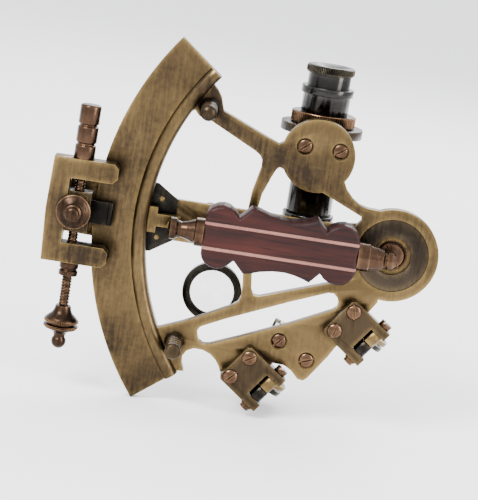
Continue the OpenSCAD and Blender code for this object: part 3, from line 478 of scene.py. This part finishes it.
def settle(piece, place, body, slot, finish, *replaced):
    """Puts a piece's mesh where it belongs, gives it its finish, hides the nodes it replaces, and hangs it on
    its body.
    """
    piece.data.transform(place)
    paint(piece, finish)
    if replaced:
        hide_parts(*replaced)
    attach(piece, body)


class GrowingTree:
    """A Geometry Nodes tree with named inputs, which ends in Realize Instances and Set Material."""

    def __init__(self, name, **inputs):
        self.tree = bpy.data.node_groups.new(name, "GeometryNodeTree")
        face = self.tree.interface
        face.new_socket("Body", in_out="INPUT", socket_type="NodeSocketGeometry")
        kinds = {float: "NodeSocketFloat", int: "NodeSocketInt", object: "NodeSocketObject"}
        self.names = {}
        sockets = {label: kinds[kind] for label, kind in inputs.items()}
        sockets["Material"] = "NodeSocketMaterial"
        for label, kind in sockets.items():
            self.names[label] = face.new_socket(label, in_out="INPUT", socket_type=kind).identifier
        face.new_socket("Geometry", in_out="OUTPUT", socket_type="NodeSocketGeometry")
        self.given = self.tree.nodes.new("NodeGroupInput").outputs

    def add(self, kind, feeds=None, **settings):
        made = self.tree.nodes.new(kind)
        for key, value in settings.items():
            setattr(made, key, value)
        for key, value in (feeds or {}).items():
            slot = made.inputs[key]
            if isinstance(value, bpy.types.NodeSocket):
                self.tree.links.new(value, slot)
            else:
                slot.default_value = value
        return made.outputs

    def maths(self, operation, first, second=0.0):
        made = self.tree.nodes.new("ShaderNodeMath")
        made.operation = operation
        for slot, value in zip(made.inputs, (first, second)):
            if isinstance(value, bpy.types.NodeSocket):
                self.tree.links.new(value, slot)
            else:
                slot.default_value = value
        return made.outputs["Value"]

    def xyz(self, x=0.0, y=0.0, z=0.0):
        return self.add("ShaderNodeCombineXYZ", {"X": x, "Y": y, "Z": z})["Vector"]

    def close(self, grown, with_body=True):
        realized = self.add("GeometryNodeRealizeInstances", {"Geometry": grown})["Geometry"]
        join = self.tree.nodes.new("GeometryNodeJoinGeometry")
        self.tree.links.new(realized, join.inputs["Geometry"])
        if with_body:
            self.tree.links.new(self.given["Body"], join.inputs["Geometry"])
        whole = join.outputs["Geometry"]
        finished = self.add(
            "GeometryNodeSetMaterial", {"Geometry": whole, "Material": self.given["Material"]}
        )["Geometry"]
        result = self.tree.nodes.new("NodeGroupOutput")
        self.tree.links.new(finished, result.inputs["Geometry"])

    def grow(self, piece, **values):
        """Runs the tree on a piece and keeps the result as its plain mesh."""
        modifier = piece.modifiers.new("grown", "NODES")
        modifier.node_group = self.tree
        for label, value in values.items():
            modifier[self.names[label]] = value
        bpy.context.view_layer.update()
        evaluated = piece.evaluated_get(bpy.context.evaluated_depsgraph_get())
        mesh = bpy.data.meshes.new_from_object(evaluated)
        piece.modifiers.remove(modifier)
        piece.data = mesh
        return piece


def knurl_tree():
    """Straight ribs round the Z axis, added to the turned body."""
    made = GrowingTree("knurl", Radius=float, Base=float, Length=float, Count=int, Width=float)
    given = made.given
    ring = {"Vertices": given["Count"], "Radius": given["Radius"]}
    circle = made.add("GeometryNodeMeshCircle", ring)["Mesh"]
    lift = made.xyz(z=made.maths("ADD", given["Base"], made.maths("MULTIPLY", given["Length"], 0.5)))
    raised = made.add("GeometryNodeSetPosition", {"Geometry": circle, "Offset": lift})["Geometry"]
    width, length = given["Width"], given["Length"]
    square_bar = {"Vertices": 4, "Radius Top": width, "Radius Bottom": width, "Depth": length}
    rib = made.add("GeometryNodeMeshCone", square_bar)["Mesh"]
    half_back = made.xyz(z=made.maths("MULTIPLY", given["Length"], -0.5))
    centred = made.add("GeometryNodeTransform", {"Geometry": rib, "Translation": half_back})["Geometry"]
    step = made.maths("DIVIDE", FULL_TURN, given["Count"])
    turn = made.xyz(z=made.maths("MULTIPLY", made.add("GeometryNodeInputIndex")["Index"], step))
    ribs = made.add(
        "GeometryNodeInstanceOnPoints", {"Points": raised, "Instance": centred, "Rotation": turn}
    )["Instances"]
    made.close(ribs)
    return made


def thread_tree():
    """A right-hand thread round the Z axis, wound on the turned body."""
    made = GrowingTree("thread", Radius=float, Base=float, Length=float, Pitch=float, Depth=float)
    given = made.given
    helix = made.add(
        "GeometryNodeCurveSpiral",
        {
            "Resolution": 24,
            "Rotations": made.maths("DIVIDE", given["Length"], given["Pitch"]),
            "Start Radius": given["Radius"],
            "End Radius": given["Radius"],
            "Height": given["Length"],
        },
    )["Curve"]
    ridge = made.add("GeometryNodeCurvePrimitiveCircle", {"Resolution": 4, "Radius": given["Depth"]})["Curve"]
    wound = made.add(
        "GeometryNodeCurveToMesh", {"Curve": helix, "Profile Curve": ridge, "Fill Caps": True}
    )["Mesh"]
    lifted = made.add(
        "GeometryNodeTransform", {"Geometry": wound, "Translation": made.xyz(z=given["Base"])}
    )["Geometry"]
    made.close(lifted)
    return made


def screws_tree():
    """One slotted head at each point of the body, turned as the point's "turn" says."""
    made = GrowingTree("screws", Head=object)
    head = made.add(
        "GeometryNodeObjectInfo", {"Object": made.given["Head"]}, transform_space="ORIGINAL"
    )["Geometry"]
    turn = made.tree.nodes.new("GeometryNodeInputNamedAttribute")
    turn.data_type = "FLOAT_VECTOR"
    turn.inputs["Name"].default_value = "turn"
    heads = made.add(
        "GeometryNodeInstanceOnPoints",
        {"Points": made.given["Body"], "Instance": head, "Rotation": turn.outputs["Attribute"]},
    )["Instances"]
    made.close(heads, with_body=False)
    return made


def divisions_tree():
    """Fine radial lines on an arc about the Y axis, every fifth one longer, every tenth longer still."""
    made = GrowingTree(
        "divisions", Radius=float, Level=float, Start=float, Step=float, Count=int, Length=float, Width=float
    )
    given = made.given
    points = made.add("GeometryNodePoints", {"Count": given["Count"]})["Points"]
    index = made.add("GeometryNodeInputIndex")["Index"]
    angle = made.maths("ADD", given["Start"], made.maths("MULTIPLY", index, given["Step"]))
    fifth = made.maths("LESS_THAN", made.maths("MODULO", index, 5.0), 0.5)
    tenth = made.maths("LESS_THAN", made.maths("MODULO", index, 10.0), 0.5)
    longer_by = 0.55
    size = made.maths("ADD", 1.0, made.maths("MULTIPLY", made.maths("ADD", fifth, tenth), longer_by))
    half = made.maths("MULTIPLY", made.maths("MULTIPLY", given["Length"], size), 0.5)
    reach = made.maths("ADD", given["Radius"], half)
    across = made.maths("MULTIPLY", made.maths("COSINE", angle), reach)
    up = made.maths("MULTIPLY", made.maths("SINE", angle), reach)
    place = made.xyz(made.maths("MULTIPLY", across, -1.0), given["Level"], up)
    placed = made.add("GeometryNodeSetPosition", {"Geometry": points, "Position": place})["Geometry"]
    thick = made.maths("MULTIPLY", given["Width"], 0.3)
    bar_size = made.xyz(given["Length"], thick, given["Width"])
    bar = made.add("GeometryNodeMeshCube", {"Size": bar_size})["Mesh"]
    marks = made.add(
        "GeometryNodeInstanceOnPoints",
        {"Points": placed, "Instance": bar, "Rotation": made.xyz(y=angle), "Scale": made.xyz(size, 1.0, 1.0)},
    )["Instances"]
    made.close(marks, with_body=False)
    return made


KNURL = knurl_tree()
THREAD = thread_tree()
SCREWS = screws_tree()
DIVISIONS = divisions_tree()

UPRIGHT = Matrix.Identity(4)
TOWARD_GRIP = Matrix.Rotation(math.radians(90), 4, "X")


def centre_of(name):
    low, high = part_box(name)
    return (Vector(low) + Vector(high)) / 2


def standing_at(name):
    """Where a turned piece's Z axis runs up through a node."""
    middle = centre_of(name)
    return Matrix.Translation((middle.x, middle.y, 0))


def turned_size(name):
    """The top, the base and the outer radius of a node turned about Z, in millimetres."""
    low, high = (Vector(corner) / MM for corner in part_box(name))
    return high.z, low.z, (high.x - low.x) / 2


def turned_and_knurled(name, profile, bands, finish):
    """A turned piece with straight knurling. A band is (radius, base, length, count, width), in mm."""
    piece = lathe(name, profile)
    smooth_by_angle(piece)
    for radius, base, length, count, width in bands:
        KNURL.grow(
            piece, Radius=radius * MM, Base=base * MM, Length=length * MM, Count=count, Width=width * MM,
            Material=FINISHES[finish],
        )
    return piece


# ---------------------------------------------------------------- telescope


def make_eyepiece_cap():
    top, base, outer = turned_size("eyepiece_cap")
    core = outer - 0.35
    bead = outer - 0.05
    stem_bore, cup_rim, peep_bore = 5.0, 6.2, 3.2
    cap = turned_and_knurled(
        "knurled_eyepiece_cap",
        [
            (stem_bore, base), (core, base), (core, base + 0.25), (bead, base + 0.4), (bead, base + 0.55),
            (core, base + 0.6), (core, top - 0.6), (outer - 0.1, top - 0.5), (outer - 0.45, top - 0.12),
            (outer - 0.8, top), (cup_rim + 0.3, top), (cup_rim, top - 0.1), (peep_bore + 0.3, top - 0.95),
            (peep_bore, top - 1.1), (peep_bore, base + 0.6), (stem_bore, base + 0.6),
        ],
        [(core, base + 0.55, top - base - 1.1, 84, 0.33)],
        "blackened",
    )
    settle(cap, standing_at("eyepiece_cap"), "eyepiece", "blackened", "blackened", "eyepiece_cap")


def make_lock_ring():
    top, base, outer = turned_size("telescope_lock_ring")
    core = outer - 0.45
    bore = 7.75
    chamfer = core - 0.2
    ring = turned_and_knurled(
        "knurled_lock_ring",
        [(bore, base), (chamfer, base), (core, base + 0.3), (core, top - 0.3), (chamfer, top), (bore, top)],
        [(core, base + 0.2, top - base - 0.4, 76, 0.44)],
        "copper",
    )
    place = standing_at("telescope_lock_ring")
    settle(ring, place, "lock_ring", "dark_brass", "copper", "telescope_lock_ring")


# ---------------------------------------------------------------- tangent screw and clamp


def make_tangent_screw():
    """A plain rod with a thread wound on it, clear of both its ends."""
    top, base, outer = turned_size("tangent_screw")
    thread_depth, thread_start, thread_short, pitch, tip = 0.42, 1.2, 2, 1.0, 0.4
    root = outer - thread_depth
    screw = lathe(
        "threaded_tangent_screw",
        [(0, base), (root, base), (root, top - tip), (root - tip, top), (0, top)],
        SMALL_ROUND_STEPS,
    )
    smooth_by_angle(screw)
    THREAD.grow(
        screw, Radius=root * MM, Base=(base + thread_start) * MM, Length=(top - base - thread_short) * MM,
        Pitch=pitch * MM, Depth=(outer - root) * MM, Material=FINISHES["copper"],
    )
    place = standing_at("tangent_screw")
    settle(screw, place, "tangent_screw_assembly", "copper", "copper", "tangent_screw")


def make_tangent_knob():
    """A bell-shaped knob with two milled rims, a stem and a ball end."""
    top, base, rim = turned_size("tangent_knob")
    neck = [(0, top), (2.5, top), (2.65, top - 0.5), (2.9, top - 1.6), (3.5, top - 2.7), (4.7, top - 3.7)]
    core, groove = rim - 0.3, 4.6
    skirt = [
        (rim - 0.4, top - 4.4), (core, top - 4.8), (core, top - 5.5), (groove, top - 5.9),
        (groove, top - 6.3), (core, top - 6.6), (core, top - 7.3), (rim - 0.5, top - 7.8), (3.4, top - 8.5),
    ]
    stem = [(2.7, top - 8.8), (2.1, top - 9.6), (1.85, top - 10.3)]
    ball_at, ball_r = top - 12.3, 2.45
    ball = []
    for degrees in range(50, 180, 13):
        angle = math.radians(degrees)
        ball.append((ball_r * math.sin(angle), ball_at + ball_r * math.cos(angle)))
    milled_length, ribs, rib_width = 0.7, 56, 0.30
    knob = turned_and_knurled(
        "knurled_tangent_knob",
        neck + skirt + stem + ball + [(0, base)],
        [(core, top - drop, milled_length, ribs, rib_width) for drop in (5.5, 7.3)],
        "copper",
    )
    place = standing_at("tangent_knob")
    settle(knob, place, "tangent_screw_assembly", "copper", "copper", "tangent_knob")


def make_clamp_knob():
    """Thumb screw: a domed skirt with a milled edge, and a small turned finial."""
    low, high = (Vector(corner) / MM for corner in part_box("clamp_knob"))
    skirt_r = (high.x - low.x) / 2
    edge_r = skirt_r - 0.25
    pin_r, shoulder_r, stem_r = 0.95, 2.75, 2.3
    tip, pin_end = -low.y, -high.y
    skirt = tip - 6.6
    profile = [
        (0, pin_end), (pin_r, pin_end), (pin_r, skirt), (skirt_r - 0.4, skirt), (edge_r, skirt + 0.15),
        (edge_r, skirt + 0.75), (skirt_r - 0.5, skirt + 0.9), (5.0, skirt + 1.3), (4.2, skirt + 1.65),
        (3.4, skirt + 2.1), (2.8, skirt + 2.6), (2.5, skirt + 3.1), (shoulder_r, skirt + 3.35),
        (shoulder_r, skirt + 3.6), (stem_r, skirt + 3.9), (2.15, skirt + 4.6), (stem_r, skirt + 5.4),
        (stem_r, skirt + 5.9), (2.0, skirt + 6.3), (1.3, skirt + 6.55), (0, tip),
    ]
    knob = turned_and_knurled("milled_clamp_knob", profile, [(edge_r, skirt + 0.15, 0.6, 60, 0.25)], "copper")
    middle = centre_of("clamp_knob")
    place = Matrix.Translation((middle.x, 0, middle.z)) @ TOWARD_GRIP
    settle(knob, place, "clamp_knob_body", "copper", "copper", "clamp_knob")


# ---------------------------------------------------------------- screws


def slot_cutter(length, width, depth, rise):
    mesh = bpy.data.meshes.new("slot_cutter")
    build = bmesh.new()
    bmesh.ops.create_cube(build, size=1.0)
    bmesh.ops.scale(build, vec=(length * MM, width * MM, 2 * depth * MM), verts=build.verts)
    bmesh.ops.translate(build, vec=(0, 0, rise * MM), verts=build.verts)
    build.to_mesh(mesh)
    build.free()
    return mesh_object("slot_cutter", mesh)


def slotted_head(radius, rise, sunk=0.5, slot_width=0.62, slot_depth=0.75):
    """A domed head with its slot cut, standing on Z = 0. The slot runs along X."""
    dome = []
    for degrees in (0, 14, 30, 45, 60, 75):
        angle = math.radians(degrees)
        dome.append((radius * math.cos(angle), rise * math.sin(angle)))
    profile = [(0, -sunk), (radius, -sunk)] + dome + [(0, rise)]
    head = lathe("screw_head", profile, SMALL_ROUND_STEPS)
    cutter = slot_cutter(3 * radius, slot_width, slot_depth, rise)
    cut = head.modifiers.new("slot", "BOOLEAN")
    cut.object = cutter
    cut.operation = "DIFFERENCE"
    cut.solver = "EXACT"
    bpy.context.view_layer.update()
    mesh = bpy.data.meshes.new_from_object(head.evaluated_get(bpy.context.evaluated_depsgraph_get()))
    head.modifiers.remove(cut)
    head.data = mesh
    smooth_by_angle(head, degrees=30)
    bpy.data.objects.remove(cutter)
    return head


def island_centres(name):
    """The middle and the grip-side end of each loose solid in a node that holds several."""
    build = bmesh.new()
    build.from_mesh(nodes[name].data)
    bmesh.ops.remove_doubles(build, verts=build.verts, dist=SAME_PLACE)
    left = set(build.verts)
    found = []
    while left:
        group, edge = set(), [left.pop()]
        while edge:
            vert = edge.pop()
            group.add(vert)
            for link in vert.link_edges:
                other = link.other_vert(vert)
                if other in left:
                    left.remove(other)
                    edge.append(other)
        xs, ys, zs = zip(*(vert.co for vert in group))
        found.append(Vector(((min(xs) + max(xs)) / 2, min(ys), (min(zs) + max(zs)) / 2)))
    build.free()
    return sorted(found, key=lambda spot: (round(spot.x, 5), round(spot.z, 5)))


HEAD_RADIUS = 2.55


def make_screws(name, node, rise, turns):
    """Replaces a node of plain slotted screws by domed ones, each turned its own way, in degrees."""
    spots = island_centres(node)
    seat = Vector((0, 1.1 * MM, 0))
    mesh = bpy.data.meshes.new(name)
    mesh.from_pydata([spot + seat for spot in spots], [], [])
    turn = mesh.attributes.new("turn", "FLOAT_VECTOR", "POINT")
    for index, degrees in zip(range(len(spots)), turns):
        turn.data[index].vector = (math.radians(90), math.radians(-degrees), 0)
    piece = mesh_object(name, mesh)
    head = slotted_head(HEAD_RADIUS, rise)
    SCREWS.grow(piece, Head=head, Material=FINISHES["copper"])
    bpy.data.objects.remove(head)
    settle(piece, UPRIGHT, "frame_assembly", "copper", "copper", node)


# ---------------------------------------------------------------- grip


GRIP_EDGE_ROUND = 1.6 * MM
GRIP_GROOVE_DEPTH = 0.22 * MM


def grip_half_width():
    """How far the grip reaches from its midline at each place along it, from its outline."""
    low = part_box("grip")[0]
    clear_of_midline, on_face = 1.5 * MM, 0.01 * MM
    spots = {}
    for vert in nodes["grip"].data.vertices:
        if vert.co.z > clear_of_midline and abs(vert.co.y - low[1]) < on_face:
            spots[round(vert.co.x, 6)] = max(vert.co.z, spots.get(round(vert.co.x, 6), 0))
    along = sorted(spots)
    return np.array(along), np.array([spots[x] for x in along])


def softened(reach):
    """A running mean over five places, which takes the hard corner off each scallop."""
    pad = np.pad(reach, 2, mode="edge")
    return (pad[:-4] + 2 * pad[1:-3] + 3 * pad[2:-2] + 2 * pad[3:-1] + pad[4:]) / 9


def rounded_drop(inward):
    """How far the rounded edge lies below its face, at a distance in from the edge."""
    return GRIP_EDGE_ROUND - math.sqrt(max(GRIP_EDGE_ROUND**2 - max(GRIP_EDGE_ROUND - inward, 0) ** 2, 0))


def make_grip():
    """The wooden grip: rounded long edges, soft scallops, and two fine grooves for its pale lines."""
    low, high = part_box("grip")
    along, wide = grip_half_width()
    steps_along, side_steps = 340, 36
    end_share, deepest_share = 0.6, 0.7
    grip_side, front_side = -1, 1
    places = np.linspace(along[0], along[-1], steps_along)
    reach = np.minimum(softened(np.interp(places, along, wide)), high[2])
    middle_y = (low[1] + high[1]) / 2
    half_t = (high[1] - low[1]) / 2
    build = bmesh.new()
    loops = []
    for x, half in zip(places, reach):
        end_drop = rounded_drop(min(x - places[0], places[-1] - x))
        row = []
        for face in (grip_side, front_side):
            for step in range(side_steps + 1):
                z = -face * (2 * step / side_steps - 1) * half
                drop = rounded_drop(half - abs(z))
                if face == grip_side and abs(abs(z) - GRIP_LINE_AT) < 0.5 * GRIP_LINE_WIDTH:
                    drop += GRIP_GROOVE_DEPTH
                y = middle_y + face * (half_t - min(drop + end_share * end_drop, half_t * deepest_share))
                row.append(build.verts.new((x, y, z)))
        loops.append(row)
    count = len(loops[0])
    for first, second in zip(loops, loops[1:]):
        for step in range(count):
            after = (step + 1) % count
            build.faces.new([first[step], first[after], second[after], second[step]])
    build.faces.new(loops[0])
    build.faces.new(loops[-1][::-1])
    bmesh.ops.recalc_face_normals(build, faces=build.faces)
    mesh = bpy.data.meshes.new("wooden_grip")
    build.to_mesh(mesh)
    build.free()
    piece = mesh_object("wooden_grip", mesh)
    smooth_by_angle(piece, degrees=40)
    settle(piece, UPRIGHT, "frame_assembly", "wood", "wood", "grip")


# ---------------------------------------------------------------- scales


def engrave(name, face, radius, half_angle, marks, length, width, finish):
    """A row of divisions on an arc about the pivot, its sizes in millimetres and its half angle in degrees."""
    lift = 0.01 * MM
    row = mesh_object(name, bpy.data.meshes.new(name))
    half = math.radians(half_angle)
    return DIVISIONS.grow(
        row, Radius=radius * MM, Level=face + lift, Start=-half, Step=2 * half / (marks - 1), Count=marks,
        Length=length * MM, Width=width * MM, Material=FINISHES[finish],
    )


def make_scales():
    """Divisions on the limb's silvered arc, and the vernier's inside the index arm's window."""
    arc_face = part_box("scale_arc")[1][1]
    limb = engrave(
        "limb_divisions", arc_face, radius=89.2, half_angle=35, marks=121, length=2.4, width=0.16,
        finish="engraving",
    )
    settle(limb, UPRIGHT, "frame_assembly", "blackened", "engraving")
    plate_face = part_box("vernier_plate")[1][1]
    vernier = engrave(
        "vernier_divisions", plate_face, radius=83.6, half_angle=3.9, marks=21, length=1.5, width=0.14,
        finish="silver",
    )
    settle(vernier, UPRIGHT, "index_arm_assembly", "silver", "silver")


make_camera()
make_lamps()
make_surround()
make_floor()
dress_frame_nodes()
make_eyepiece_cap()
make_lock_ring()
make_tangent_screw()
make_tangent_knob()
make_clamp_knob()
make_screws("domed_carrier_screws", "carrier_screws", rise=0.95, turns=(40, 35))
make_screws("domed_mirror_screws", "horizon_mirror_screws", rise=0.95, turns=(50, 20))
make_screws("domed_shade_screws", "shade_bracket_screws", rise=1.05, turns=(45, 30, 75, 100))
make_grip()
make_scales()
